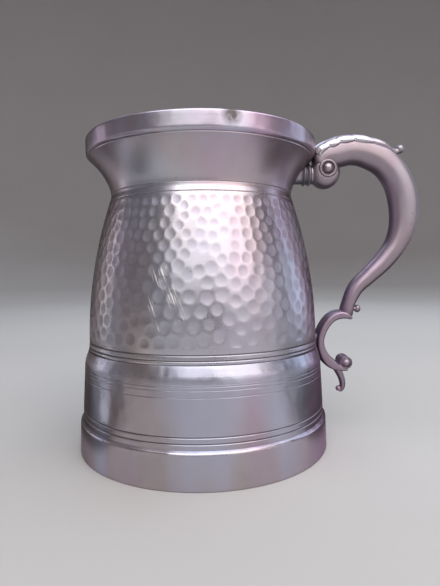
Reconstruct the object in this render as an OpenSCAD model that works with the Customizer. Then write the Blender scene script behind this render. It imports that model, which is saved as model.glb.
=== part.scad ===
// One-pint pewter tankard: a hammered, waisted barrel on a plain stepped base, with a cast scroll handle.
// The axis of the body is +Z, the flat foot stands on Z = 0, and the handle lies towards +X.

/* [Body] */
// Height from the table to the rim
rim_h = 120; // [118:0.5:122]
// Outer radius of the foot band where it stands
foot_r = 50; // [49.5:0.1:51]
// Height of the foot band
foot_h = 12.4; // [10:0.1:13.5]
// Outer radius of the drum just above the foot band
drum_low_r = 48.4; // [48.2:0.1:48.8]
// Outer radius of the drum just below its shoulder
drum_top_r = 47.4; // [47:0.1:48]
// Height at which the barrel sits on the drum
seam_h = 39.2; // [38.5:0.1:39.6]
// Outer radius of the barrel at its fullest
belly_r = 45.6; // [45:0.1:46.2]
// Outer radius at the waist under the neck
waist_r = 36.3; // [35.5:0.1:37]
// Outer radius of the rim band
rim_r = 45.4; // [45:0.1:46]
// Radius of the mouth inside the rim
mouth_r = 42.8; // [42:0.1:43]
// Height of the rim band
rim_band_h = 6.8; // [6:0.1:7.5]
// Thickness of the spun metal
wall = 1.2; // [1:0.1:1.4]
// Height of the bottom's underside above the table
bottom_h = 6; // [4:0.5:8]

/* [Lines] */
// Depth of the incised lines
line_depth = 0.3; // [0.2:0.05:0.4]
// Width of the incised lines
line_w = 0.6; // [0.4:0.1:0.8]

/* [Handle] */
// Reach of the handle's outer edge from the body's axis
handle_reach = 87.7; // [87:0.1:88.5]
// Thickness of the handle at the top of its arch
arch_t = 9.6; // [9:0.1:10.2]
// Width of the handle at the top of its arch
arch_w = 10.6; // [10:0.1:11.5]
// Radius of the roll that starts the handle
roll_r = 6; // [5.8:0.1:6.2]
// Width of the roll, side to side
roll_w = 11; // [10:0.5:12]
// Radius of the eye ball in each side of the roll
eye_r = 2; // [1.8:0.1:2.2]
// Radius of the strut between the neck and the roll
strut_r = 3.8; // [3.5:0.1:4]
// Width of the lower scroll's strap
lower_w = 10.5; // [9.5:0.5:11]

/* [Hidden] */
// Finish of the whole part
pewter = "#9a949b";
bright_pewter = "#aaa6ad";
dark_pewter = "#7d777f";
// Fineness of the turned parts, and of the small balls
$fn = 128;
ball_fn = 32;
// Heights of the lines on the barrel, and on the drum
barrel_lines = [40.6, 42.4, 96.1, 99.3];
drum_lines = [14.7, 16.8, 29.3, 31.6, 32.8];
// The belly is a parabola from here up to the waist
belly_h = 42;
waist_h = 97.8;
// Points of the neck above the waist: [radius, height]
neck_turn = [waist_r - 0.7, waist_h + 2.1];
neck_start = [waist_r + 1.2, 104];
neck_bend = [waist_r + 3.6, 109.2];
neck_top = [rim_r - 1, rim_h - rim_band_h];
// Where the barrel's wall runs up inside the rim band, and how far it stops under the rim's top
mouth_wall_r = mouth_r + 1.2;
rim_cap = 1.2;
// Where the barrel's skirt ends inside the drum
skirt_low = 33;
skirt_r = belly_r - wall;
// The bottom's own thickness, and the leg of the solder round it
disc_t = 1.5;
fillet = 2;
steps = 10;
// Depth of the recess in the middle of the underside, and its radius
recess_t = 0.4;
recess_r = 30;
// The roll's centre, the eye in its side, and the strut's height above the table
roll_at = [50.2, 0, 108.6];
eye_at = [50.6, 0, 109.6];
socket_r = 2.9;
socket_depth = 0.8;
strut_h = 108;
// Where the strut starts inside the neck, and its two rings
strut_from = 36;
strut_rings = [41.6, 43.6];
ring_r = 0.9;
// Stations of the handle from the roll round to its lower end: [x, z, thickness, width]
arch = [
    [48.6, 112.0, arch_t - 2.6, arch_w - 0.8],
    [50.0, 114.4, arch_t - 0.4, arch_w - 0.4],
    [53.8, 115.6, arch_t + 0.8, arch_w],
    [57.4, 116.6, arch_t + 1.0, arch_w],
    [61.6, 117.0, arch_t + 0.6, arch_w],
    [67.0, 116.0, arch_t + 0.8, arch_w],
    [74.1, 112.4, arch_t + 1.2, arch_w],
    [79.5, 105.6, arch_t + 1.4, arch_w],
    [handle_reach - 5.65, 97.4, 11.0, arch_w - 0.2],
    [82.1, 88.1, 10.0, arch_w - 0.4],
    [79.3, 79.7, 8.2, arch_w - 0.8],
    [74.2, 72.6, 7.4, arch_w - 1.2],
    [68.4, 67.0, 6.6, arch_w - 1.4],
    [63.0, 61.8, 5.8, arch_w - 1.6],
    [60.0, 55.6, 4.8, arch_w - 1.6],
    [58.9, 50.0, 5.0, arch_w - 1.4]
];
// Stations of the lower scroll from its lip round to its roll: [x, z, thickness, width]
c_scroll = [
    [60.3, 49.4, 1.6, lower_w - 0.8],
    [58.6, 50.6, 2.8, lower_w],
    [56.0, 50.9, 3.6, lower_w],
    [52.9, 49.6, 3.2, lower_w],
    [50.4, 46.9, 3.0, lower_w],
    [48.6, 43.4, 3.0, lower_w],
    [47.9, 39.8, 2.9, lower_w],
    [48.7, 36.0, 3.1, lower_w - 0.2],
    [50.2, 32.9, 3.4, lower_w - 0.4],
    [52.7, 30.4, 3.4, lower_w - 0.8],
    [55.8, 29.0, 2.6, lower_w - 1.2],
    [58.6, 28.7, 2.0, lower_w - 1.6]
];
// Roll that ends the lower scroll, with a ball in each side
end_roll_at = [58.3, 0, 31.2];
end_roll_r = 2.6;
end_roll_w = lower_w - 1.8;
end_ball_r = 1.9;
end_ball_sunk = 0.8;
// Stations of the tail curl under the lower scroll: [x, z, thickness, width]
tail = [
    [55.4, 28.6, 3.4, 4.6],
    [57.2, 24.8, 2.6, 4.4],
    [57.9, 21.8, 2.2, 4.0],
    [57.4, 19.4, 1.9, 3.4],
    [56.4, 18.5, 1.6, 3.0]
];
tail_ball_at = [56.0, 0, 19.8];
tail_ball_r = 1.2;
// The leaf lies on the outside of the arch between these stations, and stands this proud
leaf_from = 1;
leaf_to = 6;
leaf_t = 1.7;
// Stations of the leaf's free tip, and its bud: [x, z, thickness, width]
leaf_tip = [
    [73.6, 117.2, 5.2, 7.0],
    [76.4, 116.9, 3.8, 5.0],
    [78.8, 116.8, 2.0, 3.2],
    [80.6, 117.6, 2.0, 2.4]
];
leaf_bud_at = [80.9, 0, 118.0];
leaf_bud_r = 1.8;
// Slanting plane on which the handle meets the lower scroll's lip
lip_at = [58, 0, 51.4];
lip_slope = 32;
// Flats where the lower scroll meets its solder, and the tail meets the lower scroll
lug_face = 46.9;
lug_low = 37.4;
lug_h = 5.6;
lug_w = 5;
tail_top = 27.6;
// Spur bud on the handle's outer edge, on a short stalk
spur_at = [63.8, 0, 53.1];
spur_r = 1.4;
stalk_r = 0.9;
stalk_l = 3;

// Point of a quadratic curve
function bend(a, b, c, t) = a * pow(1 - t, 2) + b * 2 * t * (1 - t) + c * pow(t, 2);
function curve(a, b, c, n) = [for (i = [1:n]) bend(a, b, c, i / n)];
// Radius of the belly at a height
function belly(z) = belly_r - (belly_r - waist_r) * pow((z - belly_h) / (waist_h - belly_h), 2);
function unit(v) = v / norm(v);
// Moves a line of [radius, height] points inwards by t, square to the line
function inset(line, t) = [
    for (i = [0:len(line) - 1])
        let (d = unit(line[min(i + 1, len(line) - 1)] - line[max(i - 1, 0)]))
        line[i] + t * [-d[1], d[0]]
];
// Smooth curve through stations, n points between each pair
function smooth(p, n) = [
    for (i = [0:len(p) - 2])
        let (a = p[max(i - 1, 0)], b = p[i], c = p[i + 1], d = p[min(i + 2, len(p) - 1)])
        for (j = [0:n - 1])
            let (t = j / n)
            b + ((c - a) * t + (2 * a - 5 * b + 4 * c - d) * pow(t, 2) + (3 * b - a - 3 * c + d) * pow(t, 3)) / 2,
    p[len(p) - 1]
];
// Direction out of the curve at station i, in the handle's plane
function outward(path, i) =
    let (a = path[max(i - 1, 0)], b = path[min(i + 1, len(path) - 1)])
    unit([a[1] - b[1], 0, b[0] - a[0]]);
function centre(s) = [s[0], 0, s[1]];
// Squared-off oval: a point at angle a on a section with half sizes 1 and 1
function oval(a, square) =
    [sign(cos(a)) * pow(abs(cos(a)), 2 / square), sign(sin(a)) * pow(abs(sin(a)), 2 / square)];
// Faces that skin count rings of the same number of sides, with flat ends
function skin(count, sides) = [
    [for (k = [sides - 1:-1:0]) k],
    for (i = [0:count - 2], k = [0:sides - 1])
        let (a = i * sides + k, b = i * sides + (k + 1) % sides)
        each [[a, b + sides, a + sides], [a, b, b + sides]],
    [for (k = [0:sides - 1]) (count - 1) * sides + k]
];

// A bar with an oval section swept along stations of [x, z, thickness, width]
module scroll_bar(stations, n, sides, square) {
    path = smooth(stations, n);
    points = [
        for (i = [0:len(path) - 1], k = [0:sides - 1])
            let (q = oval(360 * k / sides, square))
            centre(path[i]) + outward(path, i) * q[0] * path[i][2] / 2 + [0, q[1] * path[i][3] / 2, 0]
    ];
    polyhedron(points = points, faces = skin(len(path), sides), convexity = 6);
}

// Everything on one side of a plane through a point, tilted about Y: side 0 is above it, and side 1 below
module half_space(at, slope, side) {
    size = 40;
    translate(at)
        rotate([0, slope, 0])
            translate([-size / 2, -size / 2, -side * size])
                cube(size);
}

module turned(outline) {
    rotate_extrude() polygon(outline);
}

// Cuts the incised lines: each is a V ring at [radius, height]
module incise(lines) {
    difference() {
        children();
        for (q = lines)
            turned([
                [q[0] + 0.2, q[1] - line_w / 2],
                [q[0] + 0.2, q[1] + line_w / 2],
                [q[0] - line_depth, q[1]]
            ]);
    }
}

belly_line = [for (i = [0:steps]) let (z = belly_h + (waist_h - belly_h) * i / steps) [belly(z), z]];
neck_line = concat(
    curve([waist_r, waist_h], neck_turn, neck_start, 6),
    curve(neck_start, neck_bend, neck_top, 6)
);
outer_line = concat([[belly_r + 0.3, seam_h]], belly_line, neck_line);
inner_line = [for (q = inset(outer_line, wall)) if (q[1] > belly_h - 1 && (q[1] < waist_h || q[0] < mouth_r)) q];
function barrel_radius(z) = z < belly_h ? belly_r + 0.1 : z <= waist_h ? belly(z) : waist_r - 0.05;
drum_line = [
    [drum_low_r, foot_h + 1],
    [drum_low_r - 0.1, 18],
    [drum_top_r + 0.2, 31],
    [drum_top_r - 0.1, 34],
    [drum_top_r - 0.6, 36],
    [drum_top_r - 1.2, 38],
    [belly_r + 0.3, seam_h]
];
function drum_radius(z) = z < 18 ? drum_low_r - 0.05 : drum_top_r + 0.2 + (31 - z) * 0.06;
drum_in_r = drum_low_r - wall;
drum_top_in_r = drum_top_r - wall - 0.1;

module barrel() {
    color(pewter)
        incise([for (z = barrel_lines) [barrel_radius(z), z]])
            turned(concat(
                [[skirt_r - wall, skirt_low], [skirt_r, skirt_low], [skirt_r, seam_h]],
                outer_line,
                [[mouth_wall_r, neck_top[1]], [mouth_wall_r, rim_h - rim_cap], [mouth_r, rim_h - rim_cap]],
                [[mouth_r, neck_top[1] - 0.6]],
                [for (i = [len(inner_line) - 1:-1:0]) inner_line[i]]
            ));
}

module rim_band() {
    round_r = 0.9;
    color(bright_pewter)
        turned(concat(
            [[mouth_wall_r, neck_top[1]], [neck_top[0], neck_top[1]], [rim_r - 0.2, neck_top[1] + 0.5]],
            [[rim_r, neck_top[1] + 1.3]],
            [for (a = [0:15:90]) [rim_r - round_r * (1 - cos(a)), rim_h - round_r * (1 - sin(a))]],
            [for (a = [90:30:180]) [mouth_r + 0.6 * (1 + cos(a)), rim_h - 0.6 * (1 - sin(a))]],
            [[mouth_r, rim_h - rim_cap], [mouth_wall_r, rim_h - rim_cap]]
        ));
}

module base_drum() {
    color(pewter)
        incise([for (z = drum_lines) [drum_radius(z), z]])
            turned(concat(
                [[drum_in_r, 1], [drum_low_r, 1]],
                drum_line,
                [[skirt_r, seam_h], [skirt_r, skirt_low], [drum_top_in_r, skirt_low - 1.5], [drum_in_r, 18]]
            ));
}

module foot_band() {
    color(bright_pewter)
        turned([
            [drum_low_r, 0],
            [foot_r - 0.4, 0],
            [foot_r, 0.4],
            [foot_r - 0.5, foot_h - 1.2],
            [foot_r - 0.7, foot_h - 0.5],
            [foot_r - 1.1, foot_h - 0.1],
            [drum_low_r + 0.2, foot_h + 0.3],
            [drum_low_r, foot_h + 0.4]
        ]);
}

module bottom_disc() {
    color(dark_pewter)
        difference() {
            translate([0, 0, bottom_h])
                cylinder(h = disc_t, r = drum_in_r);
            translate([0, 0, bottom_h - 1])
                cylinder(h = 1 + recess_t, r = recess_r);
        }
}

// Solder run round the underside of the bottom
module bottom_solder() {
    color(dark_pewter)
        turned([
            [drum_in_r, bottom_h],
            [drum_in_r - fillet, bottom_h],
            [drum_in_r - fillet * 0.45, bottom_h - fillet * 0.45],
            [drum_in_r, bottom_h - fillet]
        ]);
}

// Solder run inside, under the barrel's skirt
module shoulder_solder() {
    color(dark_pewter)
        turned([
            [skirt_r - wall, skirt_low],
            [skirt_r, skirt_low],
            [drum_top_in_r, skirt_low - 1.5],
            [drum_top_in_r + 0.06, skirt_low - 2.2],
            [skirt_r - 0.2, skirt_low - 1.4]
        ]);
}

module body_solid() {
    turned(concat([[0, skirt_low]], [[drum_top_r, skirt_low]], drum_line_top(), outer_line, [[0, neck_top[1]]]));
}

// The drum's outline from the skirt up
function drum_line_top() = [for (q = drum_line) if (q[1] > skirt_low && q[1] < seam_h) q];

// The rim band without its roundings, filled to the axis
module rim_blank() {
    translate([0, 0, neck_top[1]])
        cylinder(h = rim_band_h, r = rim_r);
}

// Turned strut with two rings, let into the roll and shaped to the neck
module upper_strut() {
    color(dark_pewter)
        difference() {
            translate([strut_from, 0, strut_h])
                rotate([0, 90, 0])
                    union() {
                        cylinder(h = roll_at[0] - strut_from, r = strut_r);
                        for (x = strut_rings)
                            translate([0, 0, x - strut_from])
                                rotate_extrude()
                                    translate([strut_r, 0])
                                        circle(r = ring_r, $fn = 24);
                    }
            body_solid();
            roll_blank();
        }
}

module roll_blank() {
    translate(roll_at)
        rotate([90, 0, 0])
            cylinder(h = roll_w, r = roll_r, center = true);
}

// Roll with a round socket and an eye ball in each side
module upper_roll() {
    color(bright_pewter)
        union() {
            difference() {
                roll_blank();
                for (s = [-1, 1])
                    translate(eye_at + [0, s * roll_w / 2, 0])
                        rotate([90, 0, 0])
                            cylinder(h = 2 * socket_depth, r = socket_r, center = true);
            }
            for (s = [-1, 1])
                translate(eye_at + [0, s * (roll_w / 2 - socket_depth), 0])
                    sphere(r = eye_r, $fn = ball_fn);
        }
}

module arch_bar() {
    scroll_bar(arch, 4, 24, 2.6);
}

module handle_scroll() {
    color(pewter)
        difference() {
            arch_bar();
            roll_blank();
            rim_blank();
            half_space(lip_at, lip_slope, 1);
        }
}

module spur_bud() {
    color(bright_pewter)
        difference() {
            union() {
                translate(spur_at)
                    sphere(r = spur_r, $fn = ball_fn);
                translate(spur_at)
                    rotate([0, -90, 0])
                        cylinder(h = stalk_l, r = stalk_r, $fn = ball_fn);
            }
            arch_bar();
        }
}

// Leaf that caps the arch, ending in a free tip with a bud
module leaf_cap() {
    color(bright_pewter)
        difference() {
            union() {
                scroll_bar([
                    for (i = [leaf_from:leaf_to])
                        let (s = arch[i], o = outward(arch, i) * leaf_t)
                        [s[0] + o[0], s[1] + o[2], s[2], s[3] - 0.2]
                ], 4, 24, 2.6);
                scroll_bar(leaf_tip, 3, 16, 2.2);
                translate(leaf_bud_at)
                    sphere(r = leaf_bud_r, $fn = ball_fn);
            }
            arch_bar();
            rim_blank();
        }
}

module lower_scroll() {
    color(pewter)
        difference() {
            union() {
                scroll_bar(c_scroll, 4, 20, 2.4);
                translate(end_roll_at)
                    rotate([90, 0, 0])
                        cylinder(h = end_roll_w, r = end_roll_r, $fn = ball_fn, center = true);
                for (s = [-1, 1])
                    translate(end_roll_at + [0, s * (end_roll_w / 2 - end_ball_sunk), 0])
                        sphere(r = end_ball_r, $fn = ball_fn);
            }
            half_space([lug_face, 0, lip_at[2]], 90, 1);
            half_space([lip_at[0], 0, tail_top], 0, 1);
            half_space(lip_at, lip_slope, 0);
        }
}

// Solder between the back of the lower scroll and the body
module lower_lug() {
    color(dark_pewter)
        difference() {
            translate([belly_r - 1, -lug_w / 2, lug_low])
                cube([lug_face - belly_r + 1, lug_w, lug_h]);
            body_solid();
        }
}

module tail_curl() {
    color(bright_pewter)
        difference() {
            union() {
                scroll_bar(tail, 4, 16, 2.2);
                translate(tail_ball_at)
                    sphere(r = tail_ball_r, $fn = ball_fn);
            }
            half_space([lip_at[0], 0, tail_top], 0, 0);
        }
}

barrel();
rim_band();
base_drum();
foot_band();
bottom_disc();
bottom_solder();
shoulder_solder();
upper_strut();
upper_roll();
handle_scroll();
leaf_cap();
spur_bud();
lower_scroll();
lower_lug();
tail_curl();
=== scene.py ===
import math

import bpy
import numpy as np
from mathutils import Matrix, Vector


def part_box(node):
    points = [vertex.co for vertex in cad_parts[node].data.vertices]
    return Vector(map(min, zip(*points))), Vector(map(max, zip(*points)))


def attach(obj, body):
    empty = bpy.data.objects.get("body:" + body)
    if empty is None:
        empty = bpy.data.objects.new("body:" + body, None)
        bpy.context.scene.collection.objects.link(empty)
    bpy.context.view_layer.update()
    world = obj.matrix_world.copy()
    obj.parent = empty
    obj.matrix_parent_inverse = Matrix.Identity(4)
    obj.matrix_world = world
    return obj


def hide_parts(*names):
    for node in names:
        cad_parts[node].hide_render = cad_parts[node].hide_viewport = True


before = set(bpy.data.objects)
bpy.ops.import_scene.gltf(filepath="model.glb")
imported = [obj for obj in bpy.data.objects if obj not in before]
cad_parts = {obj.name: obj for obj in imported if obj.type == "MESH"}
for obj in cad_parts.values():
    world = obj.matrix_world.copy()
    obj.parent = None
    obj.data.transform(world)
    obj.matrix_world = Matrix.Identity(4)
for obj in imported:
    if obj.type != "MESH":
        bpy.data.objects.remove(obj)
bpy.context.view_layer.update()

# Pewter tankard. Lengths are in millimetres until a mesh is made, and places come from the frame's boxes.
MM = 0.001
rng = np.random.default_rng(7)


def low(node):
    return np.array(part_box(node)[0]) / MM


def high(node):
    return np.array(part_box(node)[1]) / MM


# ---------------------------------------------------------------- driving sizes

FOOT_R = high("foot_band")[0]
FOOT_H = high("foot_band")[2]
RIM_R = high("rim_band")[0]
RIM_H = high("rim_band")[2]
RIM_LOW = low("rim_band")[2]
BARREL_R = high("barrel")[0]
SKIRT_LOW = low("barrel")[2]
SEAM_H = high("base_drum")[2]
BOTTOM_H = low("bottom_disc")[2]
DISC_R = high("bottom_disc")[0]
BELLY_R = BARREL_R - 0.3
BELLY_H = 42.0
WAIST_R, WAIST_H = 36.3, 97.8
WALL = 1.2
MOUTH_R = 42.8
MOUTH_WALL_R = MOUTH_R + WALL
DRUM_LOW_R = DISC_R + WALL
DRUM_TOP_R = 47.4
SKIRT_R = BELLY_R - WALL
DISC_THICK = 1.5
SEAM_GAP = 0.05
TURNS = 720
OUTLINE_STEP = 0.9

# Heights of the incised lines, the depth and width of each kind, and the strength and width of its dirt
BARREL_LINES = (40.6, 42.4)
WAIST_LINES = (96.1, 99.3)
WAIST_MARKS = (97.1, 97.9, 98.5)
DRUM_DARK_LINES = (14.7, 16.8)
DRUM_FINE_LINES = (29.3, 31.6, 32.8)
DARK_CUT = (0.3, 0.2)
FINE_CUT = (0.07, 0.14)
WAIST_CUT = (0.13, 0.14)
MARK_CUT = (0.02, 0.12)
DARK_DIRT = (0.95, 0.2)
FINE_DIRT = (0.4, 0.13)
WAIST_DIRT = (0.55, 0.13)
LINE_REACH = 0.56
LINE_STEP = 0.08

# The hammered zone's heights. The marks' radii, gaps and looseness are in parts of their spacing
HAMMER_LOW, HAMMER_HIGH = 44.4, 94.9
MARK_SIZE = (0.39, 0.48)
MARK_DEPTH = (0.11, 0.17)
MARK_SHARPNESS = 70.0
MARK_REACH = 4.2
MARK_GAP = 1.06
ROW_GAP = 0.92
TOP_ROW_LOOSE, ROW_LOOSE = 0.05, 0.34
RELAX_ROUNDS = 14


# ---------------------------------------------------------------- curves

def bend(a, b, c, n):
    """n + 1 points of the quadratic curve from a by way of b to c."""
    t = np.linspace(0, 1, n + 1)[:, None]
    a, b, c = map(np.array, (a, b, c))
    return a * (1 - t) ** 2 + 2 * b * t * (1 - t) + c * t ** 2


def belly(z):
    """Radius of the barrel's belly at height z."""
    return BELLY_R - (BELLY_R - WAIST_R) * ((z - BELLY_H) / (WAIST_H - BELLY_H)) ** 2


def rounded(corners, steps=5):
    """Polyline through corners of (radius, height, rounding), each corner turned into a short curve."""
    pts = [np.array(c[:2], float) for c in corners]
    out = []
    for i, (p, (_, _, size)) in enumerate(zip(pts, corners)):
        ends = []
        for other in (pts[i - 1], pts[(i + 1) % len(pts)]):
            length = np.linalg.norm(other - p)
            ends.append(p + (other - p) / length * min(size, length * 0.45))
        out.extend(bend(ends[0], p, ends[1], steps))
    return np.array(out)


def dense(line, step, fine=(), closed=True):
    """The polyline with points every step, and closer ones near the heights in fine."""
    line = np.asarray(line, float)
    ends = np.roll(line, -1, 0) if closed else line[1:]
    starts = line if closed else line[:-1]
    out = []
    for a, b in zip(starts, ends):
        length = np.linalg.norm(b - a)
        if length < 1e-6:
            continue
        n = max(1, int(math.ceil(length / step)))
        t = set(np.linspace(0, 1, n, endpoint=False))
        for z in fine:
            if abs(b[1] - a[1]) > 1e-6:
                for dz in np.arange(-LINE_REACH, LINE_REACH + 0.01, LINE_STEP):
                    k = (z + dz - a[1]) / (b[1] - a[1])
                    if 0 < k < 1:
                        t.add(k)
        t = sorted(t)
        keep = [t[0]] + [k for j, k in enumerate(t[1:]) if (k - t[j]) * length > 0.02]
        out.extend(a + (b - a) * k for k in keep)
    if not closed:
        out.append(line[-1])
    return np.array(out)


def normals_2d(line, closed=True):
    """Unit normals of a line that runs anticlockwise in (radius, height), pointing out of the metal."""
    if closed:
        d = np.roll(line, -1, 0) - np.roll(line, 1, 0)
    else:
        d = np.gradient(line, axis=0)
    d /= np.linalg.norm(d, axis=1)[:, None] + 1e-12
    return np.stack([d[:, 1], -d[:, 0]], 1)


def groove(z, lines, depth, width):
    """Depth of the incised lines at the heights z."""
    cut = np.zeros_like(z)
    for line in lines:
        cut += depth * np.exp(-((z - line) / width) ** 2)
    return cut


def wobble(theta, z, size, seed):
    """Slow uneven swell over the surface, from 0 to -size."""
    r = np.random.default_rng(seed)
    total = np.zeros(np.broadcast(theta, z).shape)
    for _ in range(7):
        total += np.sin(theta * r.integers(1, 7) + r.uniform(0, 6.28) + z * r.uniform(-0.12, 0.12))
    return -size * (0.5 + total / 14)


# ---------------------------------------------------------------- meshes

def make_piece(name, verts, faces, material, node, **fields):
    """Object from vertices in millimetres, smooth shaded, on the root body, in place of a CAD node."""
    mesh = bpy.data.meshes.new(name)
    mesh.from_pydata((np.asarray(verts) * MM).tolist(), [], faces)
    for field, values in fields.items():
        layer = mesh.attributes.new(field, "FLOAT", "POINT")
        layer.data.foreach_set("value", np.asarray(values, np.float32).ravel())
    mesh.update()
    mesh.polygons.foreach_set("use_smooth", [True] * len(mesh.polygons))
    obj = bpy.data.objects.new(name, mesh)
    bpy.context.collection.objects.link(obj)
    mesh.materials.append(material)
    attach(obj, "root")
    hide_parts(node)


def spin(outline, turns, inward=None, closed=True):
    """Vertices and faces of an outline of (radius, height) spun about Z, facing out of the metal.

    inward(theta, outline) gives how far each point moves along its normal, as a (turns, points) array.
    An open outline starts and ends on the axis."""
    m = len(outline)
    theta = np.linspace(0, 2 * math.pi, turns, endpoint=False)[:, None]
    normal = normals_2d(outline, closed)
    shift = np.zeros((turns, m)) if inward is None else inward(theta, outline)
    r = outline[None, :, 0] + shift * normal[None, :, 0]
    z = outline[None, :, 1] + shift * normal[None, :, 1]
    if not closed:
        r[:, 0] = r[:, -1] = 0
        z[:, 0] = z[:, 0].mean()
        z[:, -1] = z[:, -1].mean()
    grid = np.stack([r * np.cos(theta), r * np.sin(theta), z + 0 * theta], 2)
    index = np.arange(turns * m).reshape(turns, m)
    if not closed:
        index[:, 0] = index[0, 0]
        index[:, -1] = index[0, -1]
    ahead = np.roll(index, -1, 0)
    faces = []
    for i in range(m if closed else m - 1):
        j = (i + 1) % m
        faces += np.stack([index[:, i], ahead[:, i], ahead[:, j], index[:, j]], 1).tolist()
    verts = grid.reshape(-1, 3)
    if closed:
        return verts, faces
    # At the axis the quads become triangles, and the points they no longer use go
    faces = [[v for k, v in enumerate(face) if v != face[k - 1]] for face in faces]
    used = np.unique(np.concatenate([np.array(face) for face in faces]))
    new = np.full(len(verts), -1)
    new[used] = np.arange(len(used))
    return verts[used], [[int(new[v]) for v in face] for face in faces]


# ---------------------------------------------------------------- materials

class Graph:
    """Short names for building a node material."""

    def __init__(self, name):
        self.material = bpy.data.materials.new(name)
        self.material.use_nodes = True
        self.tree = self.material.node_tree
        self.tree.nodes.clear()
        self.where = self.add("ShaderNodeTexCoord").outputs["Object"]

    def add(self, kind, **settings):
        node = self.tree.nodes.new(kind)
        for key, value in settings.items():
            setattr(node, key, value)
        return node

    def link(self, source, target):
        """Feed an input from an output, a number, or a tuple for a colour or a vector."""
        if isinstance(source, (int, float)):
            target.default_value = source
        elif isinstance(source, tuple):
            target.default_value = source if len(source) == len(target.default_value) else (*source, 1.0)
        else:
            self.tree.links.new(source, target)

    def scaled(self, x, y, z, turn=(0, 0, 0)):
        """Place on the object in metres, turned and scaled along each axis."""
        node = self.add("ShaderNodeMapping")
        self.link(self.where, node.inputs["Vector"])
        node.inputs["Scale"].default_value = (x, y, z)
        node.inputs["Rotation"].default_value = turn
        return node.outputs["Vector"]

    def noise(self, vector, scale, detail, roughness, distortion=0.0):
        node = self.add("ShaderNodeTexNoise")
        self.link(vector, node.inputs["Vector"])
        node.inputs["Scale"].default_value = scale
        node.inputs["Detail"].default_value = detail
        node.inputs["Roughness"].default_value = roughness
        node.inputs["Distortion"].default_value = distortion
        return node.outputs["Fac"]

    def voronoi(self, vector, scale):
        node = self.add("ShaderNodeTexVoronoi")
        self.link(vector, node.inputs["Vector"])
        node.inputs["Scale"].default_value = scale
        return node.outputs["Distance"]

    def ramp(self, value, start, end, first=0.0, last=1.0):
        node = self.add("ShaderNodeMapRange", clamp=True)
        self.link(value, node.inputs["Value"])
        node.inputs["From Min"].default_value = start
        node.inputs["From Max"].default_value = end
        node.inputs["To Min"].default_value = first
        node.inputs["To Max"].default_value = last
        return node.outputs["Result"]

    def math(self, operation, a, b):
        node = self.add("ShaderNodeMath", operation=operation)
        self.link(a, node.inputs[0])
        self.link(b, node.inputs[1])
        return node.outputs["Value"]

    def blend(self, factor, a, b):
        node = self.add("ShaderNodeMix", data_type="RGBA")
        self.link(factor, node.inputs["Factor"])
        self.link(a, node.inputs[6])
        self.link(b, node.inputs[7])
        return node.outputs[2]

    def away(self, point):
        """Vector from a point in millimetres."""
        node = self.add("ShaderNodeVectorMath", operation="SUBTRACT")
        self.link(self.where, node.inputs[0])
        node.inputs[1].default_value = tuple(np.array(point) * MM)
        return node.outputs["Vector"]

    def measure(self, operation, a, b=None):
        """Number that a vector operation gives."""
        node = self.add("ShaderNodeVectorMath", operation=operation)
        self.link(a, node.inputs[0])
        if b is not None:
            self.link(b, node.inputs[1])
        return node.outputs["Value"]

    def streaks(self, start, end, width):
        """Broken parallel scratches in a band of that width between two points, all in millimetres."""
        middle = (np.array(start) + np.array(end)) / 2
        way = np.array(end) - np.array(start)
        length = np.linalg.norm(way)
        way = way / length
        aside = np.cross(way, middle * (1, 1, 0))
        aside = aside / np.linalg.norm(aside)
        offset = self.away(tuple(middle))
        along = self.measure("DOT_PRODUCT", offset, tuple(way))
        across = self.measure("DOT_PRODUCT", offset, tuple(aside))
        # The noise is drawn out along the band, so its peaks are thin broken lines
        place = self.add("ShaderNodeCombineXYZ")
        self.link(self.math("MULTIPLY", along, 120.0), place.inputs["X"])
        self.link(self.math("MULTIPLY", across, 1900.0), place.inputs["Y"])
        lines = self.ramp(self.noise(place.outputs["Vector"], 1.0, 1, 0.5, 0.25), 0.55, 0.61)
        ends = self.ramp(self.math("ABSOLUTE", along, 0.0), length * MM * 0.5, length * MM * 0.4)
        sides = self.ramp(self.math("ABSOLUTE", across, 0.0), width * MM * 0.5, width * MM * 0.3)
        return self.math("MULTIPLY", self.math("MULTIPLY", lines, ends), sides)

    def blob(self, point, size):
        """1 near a point in millimetres, fading to 0 at the distance size."""
        gap = self.measure("LENGTH", self.away(point))
        return self.ramp(gap, size * MM, size * MM * 0.35)

    def field(self, name):
        """Value of a mesh field."""
        return self.add("ShaderNodeAttribute", attribute_name=name).outputs["Fac"]

    def bump(self, height, distance, strength, normal=None):
        node = self.add("ShaderNodeBump")
        self.link(height, node.inputs["Height"])
        node.inputs["Distance"].default_value = distance
        node.inputs["Strength"].default_value = strength
        if normal is not None:
            self.link(normal, node.inputs["Normal"])
        return node.outputs["Normal"]


# Aged pewter stays dull where it is seen edge-on
EDGE_TINT = (0.50, 0.45, 0.48)


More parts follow.
